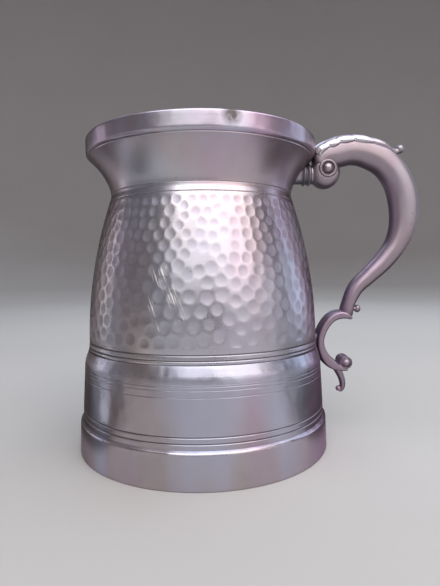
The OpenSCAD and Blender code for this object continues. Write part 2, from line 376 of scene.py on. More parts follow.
def pewter(name, light, dark, rough, spread, turned, scratched, pitted, dented=0.0, tinted=0.7,
           gouged=(), stains=()):
    """Aged satin pewter.

    light and dark are the metal's colours at the high and low ends of the wear field, rough is its
    roughness and spread how far that varies. turned, scratched, pitted, dented and tinted say how strong
    each kind of mark is; tinted sets the upright mauve and blue bands.
    gouged are bands of scratches painted near-white, bare metal brightened into a painted glint, and stains
    are tarnished spots, as places on the surface. The mesh's wear field is 1 on rubbed places and painted
    highlights and 0 in hollows and painted shade, its grime field 1 where dirt has stayed and where shade
    is painted."""
    g = Graph(name)
    mauve_tint = tuple(np.array(light) * (0.86, 0.72, 0.93))
    blue_tint = tuple(np.array(light) * (0.88, 0.99, 1.18))
    wear = g.field("wear")
    grime = g.field("grime")
    cloud = g.noise(g.scaled(1, 1, 1), 38, 4, 0.6)
    patch = g.noise(g.scaled(1, 1, 1), 140, 5, 0.65, 0.4)
    mottled = g.math("ADD", g.math("MULTIPLY", cloud, 0.6), g.math("MULTIPLY", patch, 0.4))
    polish_and_painted_light = g.math("ADD", g.ramp(mottled, 0.3, 0.7, -0.25, 0.25), wear)
    colour = g.blend(g.ramp(polish_and_painted_light, 0.0, 1.0), dark, light)
    # Broad upright bands of mauve and blue-grey: partly tarnish tint, partly painted reflections of
    # coloured surroundings
    mauve = g.noise(g.scaled(30, 30, 7), 1.0, 2, 0.5)
    colour = g.blend(g.ramp(mauve, 0.44, 0.64, 0, tinted), colour, mauve_tint)
    blue = g.noise(g.scaled(38, 38, 9, (0.0, 0.0, 0.9)), 1.0, 2, 0.5)
    colour = g.blend(g.ramp(blue, 0.48, 0.64, 0, tinted), colour, blue_tint)
    # Turning marks run round the axis, so their pattern is squeezed along it
    rings = g.noise(g.scaled(6, 6, 900), 1.0, 4, 0.7)
    marks = g.noise(g.scaled(14, 14, 3200), 1.0, 2, 0.6)
    # Two sets of fine scratches, long in one direction
    hair = g.noise(g.scaled(900, 900, 24, (0.5, 0.35, 0.2)), 1.0, 2, 0.5)
    hair_2 = g.noise(g.scaled(1100, 1100, 30, (-0.9, 0.2, 0.6)), 1.0, 2, 0.5)
    scratches = g.math("ADD", g.ramp(hair, 0.66, 0.74), g.ramp(hair_2, 0.68, 0.76))
    # Pits
    pits = g.ramp(g.voronoi(g.scaled(1, 1, 1), 210), 0.05, 0.11, 1, 0)
    where_pits = g.ramp(g.noise(g.scaled(1, 1, 1), 60, 2, 0.5), 0.52, 0.62)
    pits = g.math("MULTIPLY", g.math("MULTIPLY", pits, where_pits), pitted)
    colour = g.blend(g.math("MULTIPLY", grime, 0.85), colour, (0.09, 0.075, 0.07))
    colour = g.blend(g.math("MULTIPLY", pits, 0.7), colour, (0.13, 0.10, 0.09))
    dull = g.ramp(polish_and_painted_light, 0.0, 1.0, rough + spread * 0.7, rough - spread * 0.3)
    roughness = g.math("ADD", dull, g.math("MULTIPLY", grime, 0.25))
    roughness = g.math("ADD", roughness, g.ramp(patch, 0.35, 0.7, -0.03, 0.05))
    roughness = g.math("ADD", roughness, g.math("MULTIPLY", pits, 0.2))
    normal = g.bump(rings, 0.00003, turned)
    normal = g.bump(marks, 0.000012, turned, normal)
    normal = g.bump(g.math("MULTIPLY", scratches, scratched), 0.00002, -0.6, normal)
    normal = g.bump(g.noise(g.scaled(1, 1, 1), 900, 3, 0.6), 0.000012, scratched * 0.7, normal)
    if dented:
        normal = g.bump(g.noise(g.scaled(1, 1, 0.7), 85, 2, 0.45), 0.0025, dented, normal)
    normal = g.bump(pits, 0.00008, -0.8, normal)
    # Scratches painted near-white: bare metal, brightened further into a painted glint.
    for start, end, width in gouged:
        lines = g.streaks(start, end, width)
        colour = g.blend(lines, colour, (0.94, 0.91, 0.90))
        roughness = g.math("ADD", roughness, g.math("MULTIPLY", lines, 0.25))
    for place, size in stains:
        spot = g.math("MULTIPLY", g.blob(place, size), g.ramp(patch, 0.28, 0.46))
        colour = g.blend(spot, colour, (0.13, 0.12, 0.125))
        roughness = g.math("ADD", roughness, g.math("MULTIPLY", spot, 0.15))
    shader = g.add("ShaderNodeBsdfPrincipled")
    g.link(colour, shader.inputs["Base Color"])
    g.link(roughness, shader.inputs["Roughness"])
    g.link(normal, shader.inputs["Normal"])
    shader.inputs["Metallic"].default_value = 1.0
    shader.inputs["Specular Tint"].default_value = (*EDGE_TINT, 1.0)
    out = g.add("ShaderNodeOutputMaterial")
    g.tree.links.new(shader.outputs["BSDF"], out.inputs["Surface"])
    return g.material


def on_belly(degrees, z):
    """Point on the barrel, that many degrees from the front towards the handle."""
    a = math.radians(degrees)
    return (belly(z) * math.sin(a), -belly(z) * math.cos(a), z)


# Each band of scratches: its ends and its width
SCRATCHES = [
    (on_belly(-16.2, 71.5), on_belly(-7.0, 52.4), 5.2),
    (on_belly(-21.0, 72.0), on_belly(-17.0, 64.0), 2.2),
    (on_belly(150.0, 62.0), on_belly(158.0, 76.0), 3.0),
]
# The stain on the rim: its middle and its size
RIM_STAIN_TURN = 0.255
RIM_STAIN = ((RIM_R * math.sin(RIM_STAIN_TURN), -RIM_R * math.cos(RIM_STAIN_TURN), 118.2), 4.0)

HAMMERED = pewter(
    "hammered_pewter_mat", light=(0.61, 0.56, 0.555), dark=(0.385, 0.34, 0.355),
    rough=0.31, spread=0.15, turned=0.35, scratched=0.7, pitted=0.4, gouged=SCRATCHES)
TURNED = pewter(
    "turned_pewter_mat", light=(0.58, 0.525, 0.54), dark=(0.38, 0.335, 0.355),
    rough=0.30, spread=0.1, turned=0.9, scratched=0.2, pitted=0.2,
    dented=0.35, tinted=1.0, stains=[RIM_STAIN])
CAST = pewter(
    "cast_pewter_mat", light=(0.43, 0.38, 0.40), dark=(0.28, 0.245, 0.26),
    rough=0.38, spread=0.1, turned=0.0, scratched=0.5, pitted=0.5)
# Pale, slightly blue finish for the leaf: partly worn metal, partly a painted blue-white highlight.
WORN_AND_SHEEN_CAST = pewter(
    "worn_and_sheen_cast_pewter_mat", light=(0.62, 0.615, 0.65), dark=(0.32, 0.29, 0.305),
    rough=0.28, spread=0.16, turned=0.0, scratched=0.6, pitted=0.4)
SOLDER = pewter(
    "solder_mat", light=(0.46, 0.42, 0.435), dark=(0.30, 0.27, 0.285),
    rough=0.46, spread=0.1, turned=0.0, scratched=0.2, pitted=0.8)


# ---------------------------------------------------------------- body pieces

def mark_pitch(z):
    """Spacing of the hammer marks at height z."""
    down = (HAMMER_HIGH - z) / (HAMMER_HIGH - HAMMER_LOW)
    return 3.75 + 1.25 * np.minimum(1.0, down * 1.6)


def hammer_dishes():
    """Angle, height, radius and depth of each hammer mark.

    The marks start in loose rows, the top row neat, and are pushed apart until they are evenly spaced."""
    first_row, last_row = HAMMER_HIGH - 1.9, HAMMER_LOW + 1.4
    spots = []
    z = first_row
    while z > last_row:
        pitch = mark_pitch(z)
        count = int(round(2 * math.pi * belly(z) / (MARK_GAP * pitch)))
        loose = TOP_ROW_LOOSE if z == first_row else ROW_LOOSE
        start = rng.uniform(0, 1)
        for j in range(count):
            angle = (j + start + rng.normal(0, loose)) * 2 * math.pi / count
            spots.append((angle, z + rng.normal(0, loose * pitch * 0.9)))
        z -= pitch * ROW_GAP
    spots = np.array(spots)
    for _ in range(RELAX_ROUNDS):
        turn = (spots[:, None, 0] - spots[None, :, 0] + math.pi) % (2 * math.pi) - math.pi
        radius = belly(spots[:, 1])
        across = turn * radius[:, None]
        along = spots[:, None, 1] - spots[None, :, 1]
        gap = np.hypot(across, along) + 1e-9
        wanted = mark_pitch(spots[:, 1])[:, None] * 1.02
        push = np.clip(wanted - gap, 0, None) * (gap > 1e-6) * 0.28
        spots[:, 0] += (push * across / gap).sum(1) / radius
        spots[:, 1] += (push * along / gap).sum(1)
        spots[:, 1] = np.clip(spots[:, 1], HAMMER_LOW + 1.6, HAMMER_HIGH - 1.7)
    pitch = mark_pitch(spots[:, 1])
    size = pitch * rng.uniform(*MARK_SIZE, len(spots))
    depth = rng.uniform(*MARK_DEPTH, len(spots))
    return np.column_stack([spots, size, depth])


def hammer_field(theta, z, radius, dishes):
    """Height of the hammered surface at each (theta, z): dishes with soft rims, near 0 between them.

    The marks are a little taller than wide near the top."""
    out = np.zeros((len(theta), len(z)))
    for i, (height, r) in enumerate(zip(z, radius)):
        near = dishes[np.abs(dishes[:, 1] - height) < MARK_REACH]
        if not len(near):
            continue
        turn = (theta - near[None, :, 0] + math.pi) % (2 * math.pi) - math.pi
        across = turn * r
        tall = 1.0 + 0.16 * (height - HAMMER_LOW) / (HAMMER_HIGH - HAMMER_LOW)
        along = (height - near[None, :, 1]) / tall
        squared = (across ** 2 + along ** 2) / near[None, :, 2] ** 2
        h = near[None, :, 3] * (np.minimum(squared, 6.0) - 1.0)
        total = np.exp(-MARK_SHARPNESS * h).sum(1) + 1.0
        out[:, i] = -np.log(total) / MARK_SHARPNESS
    return out


def body_outside():
    """The barrel's outside from its seam to the rim band: belly, waist and neck."""
    belly_line = [[belly(z), z] for z in np.arange(BELLY_H, WAIST_H, 0.4)]
    neck_start = (WAIST_R + 1.2, 104.0)
    low_neck = bend((WAIST_R, WAIST_H), (WAIST_R - 0.7, WAIST_H + 2.1), neck_start, 18)
    high_neck = bend(neck_start, (WAIST_R + 3.6, 109.2), (RIM_R - 1.0, RIM_LOW), 22)[1:]
    return np.array([[BARREL_R, SEAM_H + SEAM_GAP], *belly_line, *low_neck.tolist(), *high_neck.tolist()])


def barrel_outline():
    """Section of the barrel: skirt, outside, lip inside the rim band, and the inside back down."""
    outer = body_outside()
    inner = outer - normals_2d(outer, closed=False) * WALL
    inner = inner[(inner[:, 1] > BELLY_H - 1) & ((inner[:, 1] < WAIST_H) | (inner[:, 0] < MOUTH_R))]
    skirt = [[SKIRT_R - WALL, SKIRT_LOW], [SKIRT_R, SKIRT_LOW], [SKIRT_R, SEAM_H + SEAM_GAP]]
    mouth = [
        [MOUTH_WALL_R, RIM_LOW], [MOUTH_WALL_R, RIM_H - WALL],
        [MOUTH_R, RIM_H - WALL], [MOUTH_R, RIM_LOW - 0.6],
    ]
    return np.array(skirt + outer.tolist() + mouth + inner[::-1].tolist())


def make_barrel():
    """Barrel with hammer marks pressed in, dark lines at its foot and waist, and a slight unevenness."""
    line = dense(barrel_outline(), OUTLINE_STEP, (*BARREL_LINES, *WAIST_LINES))
    z, r = line[:, 1], line[:, 0]
    outside = (normals_2d(line)[:, 0] > 0.2) & (z > SEAM_H) & (z < RIM_LOW)
    theta = np.linspace(0, 2 * math.pi, TURNS, endpoint=False)[:, None]
    dishes = hammer_dishes()
    zone = outside & (z > HAMMER_LOW - 3) & (z < HAMMER_HIGH + 3)
    marks = np.zeros((TURNS, len(line)))
    marks[:, zone] = hammer_field(theta, z[zone], r[zone], dishes)
    edge = np.clip((z - HAMMER_LOW) / 0.8, 0, 1) * np.clip((HAMMER_HIGH - z) / 0.8, 0, 1)
    marks *= edge[None, :]
    cuts = (groove(z, BARREL_LINES, *DARK_CUT) + groove(z, WAIST_LINES, *WAIST_CUT)) * outside
    fine = groove(z, WAIST_MARKS, *MARK_CUT) * outside

    def inward(angle, outline):
        return marks - cuts[None, :] - fine[None, :] + wobble(angle, z[None, :], 0.07, 3) * outside[None, :]

    verts, faces = spin(line, TURNS, inward)
    # Hammer dishes are painted darker than the ridges between them: partly dull patina in the hollows,
    # partly painted shade for the dishes' darker reflections. Inward faces are set darker still, and the
    # neck's outside is set to 0.55.
    deep = np.clip((-marks - 0.012) / 0.055, 0, 1)
    deep = deep * deep * (3 - 2 * deep)
    wear = np.where(outside[None, :], 0.88 - 0.72 * deep, 0.35)
    wear[:, (z > WAIST_H) & outside] = 0.55
    grime = (groove(z, BARREL_LINES, *DARK_DIRT) + groove(z, WAIST_LINES, *WAIST_DIRT)) * outside
    grime = np.tile(np.clip(grime, 0, 1), (TURNS, 1))
    make_piece("hammered_barrel", verts, faces, HAMMERED, "barrel", wear=wear, grime=grime)


def make_ring(name, node, corners, seed, uneven, rubbed_and_highlit_edge, lines=(), fine=()):
    """Turned ring from rounded corners, with dark incised lines, fine lines, and one edge painted lighter:
    partly rubbed metal, partly a painted highlight.

    rubbed_and_highlit_edge is that edge's radius and height, and how wide the lighter colour reaches."""
    edge_r, edge_z, reach = rubbed_and_highlit_edge
    line = dense(rounded(corners), OUTLINE_STEP, (*lines, *fine, edge_z))
    z, r = line[:, 1], line[:, 0]
    outside = normals_2d(line)[:, 0] > 0.3
    cuts = (groove(z, lines, *DARK_CUT) + groove(z, fine, *FINE_CUT)) * outside

    def inward(angle, outline):
        return wobble(angle, z[None, :], uneven, seed) - cuts[None, :]

    verts, faces = spin(line, TURNS, inward)
    # Lighter round that edge: partly rubbed metal, partly a painted highlight where the edge catches the
    # light. Faces turned towards the axis are darker.
    rub_and_highlight = np.exp(-(((z - edge_z) ** 2 + (r - edge_r) ** 2) / reach ** 2))
    inside = normals_2d(line)[:, 0] < -0.3
    wear = np.tile(np.clip(0.5 + 0.5 * rub_and_highlight - 0.2 * inside, 0, 1), (TURNS, 1))
    grime = (groove(z, lines, *DARK_DIRT) + groove(z, fine, *FINE_DIRT)) * outside
    grime = np.tile(np.clip(grime, 0, 1), (TURNS, 1))
    make_piece(name, verts, faces, TURNED, node, wear=wear, grime=grime)


def make_rings():
    """Rim band, lower body and foot band."""
    make_ring("rim_band_turned", "rim_band", [
        (MOUTH_WALL_R, RIM_LOW, 0.05),
        (RIM_R - 0.9, RIM_LOW, 0.5),
        (RIM_R, RIM_LOW + 0.9, 0.9),
        (RIM_R, RIM_H, 1.0),
        (MOUTH_R, RIM_H, 0.7),
        (MOUTH_R, RIM_H - WALL, 0.05),
        (MOUTH_WALL_R, RIM_H - WALL, 0.05),
    ], seed=21, uneven=0.06, rubbed_and_highlit_edge=(RIM_R - 0.3, RIM_H - 0.3, 0.7))
    make_ring("base_drum_turned", "base_drum", [
        (DISC_R, 1.0, 0.1),
        (DRUM_LOW_R, 1.0, 0.1),
        (DRUM_LOW_R, FOOT_H + 0.6, 0.1),
        (DRUM_LOW_R - 0.1, 18.0, 1.0),
        (DRUM_TOP_R + 0.2, 31.0, 2.0),
        (DRUM_TOP_R, 35.0, 3.0),
        (BARREL_R + 0.35, 38.4, 1.6),
        (BARREL_R, SEAM_H, 0.15),
        (SKIRT_R, SEAM_H, 0.05),
        (SKIRT_R, SKIRT_LOW, 0.05),
        (DRUM_TOP_R - WALL - 0.1, SKIRT_LOW - 1.5, 0.1),
        (DISC_R, 18.0, 1.0),
    ], seed=22, uneven=0.05, rubbed_and_highlit_edge=(DRUM_TOP_R - 0.4, 36.2, 1.6),
        lines=DRUM_DARK_LINES, fine=DRUM_FINE_LINES)
    make_ring("foot_band_turned", "foot_band", [
        (DRUM_LOW_R, 0.0, 0.1),
        (FOOT_R - 0.1, 0.0, 0.5),
        (FOOT_R - 0.5, FOOT_H - 0.7, 0.9),
        (DRUM_LOW_R + 0.15, FOOT_H - 0.1, 0.2),
        (DRUM_LOW_R, FOOT_H, 0.05),
    ], seed=23, uneven=0.06, rubbed_and_highlit_edge=(FOOT_R - 0.7, FOOT_H - 0.8, 0.6))


def make_bottom():
    """Bottom plate with a shallow step on its underside and faint rings left by the turning tool."""
    top, step_r, step_h = BOTTOM_H + DISC_THICK, 30.0, BOTTOM_H + 0.35
    disc = dense([
        [0, step_h], [step_r, step_h], [step_r + 0.3, BOTTOM_H], [DISC_R, BOTTOM_H],
        [DISC_R, top], [0.01, top], [0, top],
    ], OUTLINE_STEP, closed=False)

    def dished(angle, outline):
        rings = 0.03 * np.sin(outline[:, 0] * 2.2) * (outline[:, 0] < DISC_R - 1)
        return rings[None, :] - wobble(angle, outline[None, :, 0], 0.03, 31) * 0.5 - 0.08

    verts, faces = spin(disc, TURNS, dished, closed=False)
    make_piece("bottom_disc_turned", verts, faces, TURNED, "bottom_disc",
               wear=np.full(len(verts), 0.3), grime=np.full(len(verts), 0.05))


def solder_bead(name, node, r, z, leg):
    """Run of solder under the corner at (r, z): uneven, with its hollow face towards the axis."""
    corners = [
        (r - leg, z, 0.1), (r - leg * 0.45, z - leg * 0.45, 0.5), (r, z - leg, 0.1), (r, z, 0.03),
    ]
    line = dense(rounded(corners), 0.35)
    hollow = (line[:, 0] < r - 0.05) & (np.abs(line[:, 1] - z) > 0.05)

    def inward(angle, outline):
        return wobble(angle * 3, outline[None, :, 1] * 6, 0.22, 41) * hollow[None, :]

    verts, faces = spin(line, TURNS, inward)
    make_piece(name, verts, faces, SOLDER, node,
               wear=np.full(len(verts), 0.4), grime=np.full(len(verts), 0.1))


# ---------------------------------------------------------------- handle pieces

ARCH_T = 9.6
ARCH_FLAT = 5.0
HANDLE_REACH = high("handle_scroll")[0]
ARCH_W = high("handle_scroll")[1] - low("handle_scroll")[1]
ROLL = np.array([50.2, 0, 108.4])
ROLL_R = 6.0
ROLL_W = 11.0
EYE = np.array([50.6, 0, 109.7])
EYE_R = 2.1
STRUT_R = 3.8
STRUT_H = 108.0
STRUT_START, STRUT_END = 35.0, 47.0
STRUT_RINGS = (41.6, 43.6)
SCROLL_W = 10.5
END_ROLL = np.array([58.3, 0, 31.2])
END_ROLL_R = 2.6
END_ROLL_W = SCROLL_W - 1.8
BUD = np.array([80.9, 0, 118.0])
SPUR = np.array([63.8, 0, 53.1])

# Stations of each bar: x, z, thickness in the handle's plane, width across it
ARCH = [
    (48.6, 112.0, ARCH_T - 2.6, ARCH_W - 0.8),
    (50.0, 114.4, ARCH_T - 0.4, ARCH_W - 0.4),
    (53.8, 115.6, ARCH_T + 0.8, ARCH_W),
    (57.4, 116.6, ARCH_T + 1.0, ARCH_W),
    (61.6, 117.0, ARCH_T + 0.6, ARCH_W),
    (67.0, 116.0, ARCH_T + 0.8, ARCH_W),
    (74.1, 112.4, ARCH_T + 1.2, ARCH_W),
    (79.5, 105.6, ARCH_T + 1.4, ARCH_W),
    (HANDLE_REACH - 5.7, 97.4, 11.0, ARCH_W - 0.2),
    (82.1, 88.1, 10.0, ARCH_W - 0.4),
    (79.3, 79.7, 8.2, ARCH_W - 0.8),
    (74.2, 72.6, 7.4, ARCH_W - 1.2),
    (68.4, 67.0, 6.6, ARCH_W - 1.4),
    (63.0, 61.8, 5.8, ARCH_W - 1.6),
    (60.0, 55.6, 4.8, ARCH_W - 1.6),
    (58.9, 51.4, 5.0, ARCH_W - 1.4),
]
C_SCROLL = [
    (60.3, 49.6, 1.6, SCROLL_W - 0.8),
    (58.6, 50.5, 2.6, SCROLL_W),
    (56.0, 50.8, 3.4, SCROLL_W),
    (52.9, 49.6, 3.2, SCROLL_W),
    (50.4, 46.9, 3.0, SCROLL_W),
    (48.6, 43.4, 3.0, SCROLL_W),
    (47.9, 39.8, 2.9, SCROLL_W),
    (48.7, 36.0, 3.4, SCROLL_W - 0.2),
    (50.3, 32.9, 4.0, SCROLL_W - 0.4),
    (52.8, 30.6, 4.0, SCROLL_W - 0.8),
    (55.8, 29.0, 2.6, SCROLL_W - 1.2),
    (58.8, 28.6, 1.8, SCROLL_W - 1.6),
]
LIP = [
    (55.6, 51.6, 1.0, SCROLL_W - 2.6),
    (57.2, 51.9, 1.6, SCROLL_W - 0.9),
    (59.2, 51.0, 1.7, SCROLL_W - 0.4),
    (60.6, 49.6, 1.2, SCROLL_W - 0.8),
]
TAIL = [
    (55.4, 28.4, 3.2, 4.6),
    (57.1, 24.8, 2.6, 4.3),
    (57.8, 21.8, 2.2, 3.9),
    (57.3, 19.6, 1.8, 3.3),
    (56.5, 19.0, 1.4, 2.8),
]
LEAF_TIP = [
    (72.3, 116.9, 5.6, 7.4),
    (74.9, 116.9, 4.4, 5.6),
    (77.2, 116.9, 3.4, 4.2),
    (78.9, 116.9, 2.6, 3.2),
    (80.3, 117.4, 2.3, 2.5),
]


def smooth(stations, per):
    """Catmull-Rom curve through the stations, per points between each pair."""
    p = np.array(stations, float)
    out = []
    for i in range(len(p) - 1):
        a, b, c, d = p[max(i - 1, 0)], p[i], p[i + 1], p[min(i + 2, len(p) - 1)]
        for t in np.arange(per) / per:
            out.append(b + ((c - a) * t + (2 * a - 5 * b + 4 * c - d) * t ** 2
                            + (3 * b - a - 3 * c + d) * t ** 3) / 2)
    out.append(p[-1])
    return np.array(out)


def frames(path):
    """Unit directions along the path and square to it, in the handle's plane."""
    along = np.gradient(path[:, :2], axis=0)
    along /= np.linalg.norm(along, axis=1)[:, None]
    out = np.stack([-along[:, 1], along[:, 0]], 1)
    return along, out


def oval(angle, square):
    """Point on a squared-off oval: how far out, and how far across."""
    c, s = np.cos(angle), np.sin(angle)
    return np.sign(c) * np.abs(c) ** (2 / square), np.sign(s) * np.abs(s) ** (2 / square)


def crowned(angle, flat):
    """Point on a section with a crowned outside, flat sides and a round inside."""
    c, s = np.cos(angle), np.sin(angle)
    return c, np.sign(s) * np.abs(s) ** np.where(c > 0, 2 / flat, 2 / 2.4)


def tube(rings):
    """Faces of rings of equal size, closed with a fan at each end."""
    n, sides = rings.shape[:2]
    index = np.arange(n * sides).reshape(n, sides)
    ahead = np.roll(index, -1, 1)
    faces = np.stack([index[:-1], index[1:], ahead[1:], ahead[:-1]], 2).reshape(-1, 4).tolist()
    verts = rings.reshape(-1, 3)
    first, last = len(verts), len(verts) + 1
    verts = np.vstack([verts, rings[0].mean(0), rings[-1].mean(0)])
    faces += [[first, int(index[0, k]), int(ahead[0, k])] for k in range(sides)]
    faces += [[last, int(ahead[-1, k]), int(index[-1, k])] for k in range(sides)]
    return verts, faces


def bar(stations, per=12, sides=64, square=2.6, cap=0.5, section=oval):
    """Bar swept through the stations, with ends rounded off by cap times half its thickness."""
    path = smooth(stations, per)
    along, out = frames(path)
    angle = np.linspace(0, 2 * math.pi, sides, endpoint=False)
    c, s = section(angle, square)
    steps = 6

    def ring(at, scale=1.0, shift=0.0):
        (x, z, thick, wide), a, o = path[at], along[at], out[at]
        centre = np.array([x, 0, z]) + np.array([a[0], 0, a[1]]) * shift
        radial = np.array([o[0], 0, o[1]])
        return centre + (np.outer(c * thick / 2, radial) + np.outer(s * wide / 2, [0, 1, 0])) * scale

    def end_ring(at, k, way):
        f = k / steps * math.pi / 2
        return ring(at, math.cos(f) + 0.02, way * math.sin(f) * path[at][2] / 2 * cap)

    rings = [end_ring(0, k, -1) for k in range(steps, 0, -1)]
    rings += [ring(at) for at in range(len(path))]
    rings += [end_ring(-1, k, 1) for k in range(1, steps + 1)]
    return tube(np.array(rings))


def ball(centre, size, squash=(1, 1, 1), turns=40):
    """Sphere of that radius, each axis scaled."""
    arc = np.linspace(-math.pi / 2, math.pi / 2, turns // 2 + 1)
    line = np.stack([np.cos(arc) * size, np.sin(arc) * size], 1)
    verts, faces = spin(line, turns, closed=False)
    return verts * np.array(squash) + np.array(centre), faces


def turned_along(axis, centre, outline, turns=96):
    """An open outline of (radius, distance) spun about a line through centre, along X or Y."""
    verts, faces = spin(np.array(outline, float), turns, closed=False)
    if axis == "x":
        verts = verts[:, [2, 1, 0]]
    else:
        verts = verts[:, [0, 2, 1]]
    return verts + np.array(centre), [f[::-1] for f in faces]


def hoop(centre, size, thick, turns=72, sides=20):
    """Ring of round wire about a line along Y."""
    a = np.linspace(0, 2 * math.pi, sides, endpoint=False)
    line = np.stack([size + thick * np.cos(a), thick * np.sin(a)], 1)
    verts, faces = spin(line, turns)
    return verts[:, [0, 2, 1]] + np.array(centre), [f[::-1] for f in faces]


def temporary(name, parts):
    """Object from several shells in one mesh, to be dropped after use."""
    verts, faces, base = [], [], 0
    for v, f in parts:
        verts.append(v)
        faces += [[k + base for k in face] for face in f]
        base += len(v)
    mesh = bpy.data.meshes.new(name)
    mesh.from_pydata(np.vstack(verts).tolist(), [], faces)
    obj = bpy.data.objects.new(name, mesh)
    bpy.context.collection.objects.link(obj)
    return obj


def drop(obj):
    mesh = obj.data
    bpy.data.objects.remove(obj)
    bpy.data.meshes.remove(mesh)


def fuse(parts, voxel, rounds, cut=()):
    """One skin round overlapping closed shells, less the shells in cut, with creases softened as in a
    casting."""
    obj = temporary("fuse", parts)
    remesh = obj.modifiers.new("remesh", "REMESH")
    remesh.mode = "VOXEL"
    remesh.voxel_size = voxel
    relax = obj.modifiers.new("relax", "SMOOTH")
    relax.factor = 0.5
    relax.iterations = rounds
    cutters = [temporary("cutter", [shell]) for shell in cut]
    for cutter in cutters:
        less = obj.modifiers.new("less", "BOOLEAN")
        less.operation = "DIFFERENCE"
        less.solver = "EXACT"
        less.object = cutter
    graph = bpy.context.evaluated_depsgraph_get()
    result = bpy.data.meshes.new_from_object(obj.evaluated_get(graph))
    out = np.empty(len(result.vertices) * 3)
    result.vertices.foreach_get("co", out)
    polys = [list(p.vertices) for p in result.polygons]
    for piece in (obj, *cutters):
        drop(piece)
    bpy.data.meshes.remove(result)
    return out.reshape(-1, 3), polys


VOXEL_SCALE = 1


def even(value):
    """Field that is the same on every vertex."""
    return lambda verts: np.full(len(verts), value)


def cast_piece(name, node, parts, voxel, rounds=2, cut=(), material=CAST, wear=even(0.5), grime=even(0.0)):
    """Casting fused from parts. wear and grime give those fields from the vertices."""
    verts, faces = fuse(parts, voxel * VOXEL_SCALE, rounds, cut)
    make_piece(name, verts, faces, material, node, wear=wear(verts), grime=grime(verts))


def dark_ring_round(centre, radius, width, side):
    """Darker ring about a line along Y, on points further than side from the handle's middle."""
    def grime(v):
        gap = np.hypot(v[:, 0] - centre[0], v[:, 2] - centre[2])
        return 0.8 * np.exp(-((gap - radius) / width) ** 2) * (np.abs(v[:, 1]) > side)
    return grime


ARCH_PATH = smooth(ARCH, 24)
ARCH_OUT = frames(ARCH_PATH)[1]


def arch_surface(s, angle, proud):
    """Point that far above the arch at path position s (0 to 1), at an angle round from the outer edge."""
    x = s * (len(ARCH_PATH) - 1)
    i = min(int(x), len(ARCH_PATH) - 2)
    f = x - i
    p = ARCH_PATH[i] * (1 - f) + ARCH_PATH[i + 1] * f
    o = ARCH_OUT[i] * (1 - f) + ARCH_OUT[i + 1] * f
    c, w = crowned(angle, ARCH_FLAT)
    n = np.array([o[0] * math.cos(angle), math.sin(angle), o[1] * math.cos(angle)])
    return np.array([p[0] + o[0] * c * p[2] / 2, w * p[3] / 2, p[1] + o[1] * c * p[2] / 2]) + n * proud


LEAF_START, LEAF_END = 0.045, 0.40
LOBES = 4.5


def leaf_place(u):
    """Position on the arch's path at u, which runs from 0 at the leaf's root to 1 at its tip."""
    return LEAF_START + (LEAF_END - LEAF_START) * u


def leaf_width(u):
    """How far round the arch the leaf reaches to each side, in degrees."""
    return 66 - 12 * u


def leaf_blade():
    """Lobed leaf lying on the outside of the arch, with a raised rib and veins that run into each lobe."""
    rows, cols = 170, 101
    top, bottom = [], []
    for i in range(rows):
        u = i / (rows - 1)
        s = leaf_place(u)
        taper = 1 - 0.55 * max(0.0, (u - 0.72) / 0.28) ** 2
        lobe_at = abs(math.sin(math.pi * (u * LOBES + 0.25)))
        reach = math.radians(leaf_width(u)) * taper * (0.84 + 0.16 * lobe_at ** 0.5)
        for j in range(cols):
            v = j / (cols - 1) * 2 - 1
            edge = max(0.0, 1 - abs(v) ** 7)
            rib = 0.35 * math.exp(-(v / 0.09) ** 2) - 0.16 * math.exp(-((abs(v) - 0.2) / 0.1) ** 2)
            sweep = math.sin(math.pi * (u * LOBES + 0.25 + 0.35 * (1 - abs(v)))) ** 2
            furrow = -0.26 * (1 - sweep) ** 3 * min(1.0, abs(v) * 2.2)
            ends = min(1.0, u * 12 + 0.35, (1 - u) * 9 + 0.25)
            proud = (1.3 * edge ** 0.4 + (rib + furrow) * edge) * ends
            top.append(arch_surface(s, reach * v, proud))
            bottom.append(arch_surface(s, reach * v, -0.8))
    grid = np.arange(rows * cols).reshape(rows, cols)
    quads = np.stack([grid[:-1, :-1], grid[:-1, 1:], grid[1:, 1:], grid[1:, :-1]], 2).reshape(-1, 4)
    faces = quads.tolist() + (quads[:, [0, 3, 2, 1]] + rows * cols).tolist()
    rim = list(grid[0]) + list(grid[1:, -1]) + list(grid[-1, -2::-1]) + list(grid[-2:0:-1, 0])
    for a, b in zip(rim, rim[1:] + rim[:1]):
        faces.append([int(b), int(a), int(a) + rows * cols, int(b) + rows * cols])
    return np.array(top + bottom), faces


def leaf_pits():
    """Balls that cut small punched pits into the notches between the lobes."""
    pits = []
    for k in range(1, 5):
        u = (k - 0.25) / LOBES
        for side in (-1, 1):
            spot = arch_surface(leaf_place(u), side * math.radians(leaf_width(u) * 0.88), 1.1)
            pits.append(ball(spot, 0.6, turns=20))
    return pits


def body_plug():
    """The body's outside from the shoulder up, to shape whatever stands against it."""
    outline = [[0, SKIRT_LOW], [DRUM_TOP_R, SKIRT_LOW], [DRUM_TOP_R - 0.6, 36], [DRUM_TOP_R - 1.2, 38]]
    outline += [q.tolist() for q in body_outside()]
    outline += [[RIM_R, RIM_LOW + 1.0], [RIM_R, RIM_H + 1], [0, RIM_H + 1]]
    return spin(np.array(outline), 256, closed=False)


def both_ends(profile):
    """Outline of a piece with two like ends, from one end's points of (radius, distance)."""
    return [(r, -d) for r, d in profile] + [(r, d) for r, d in profile[::-1]]


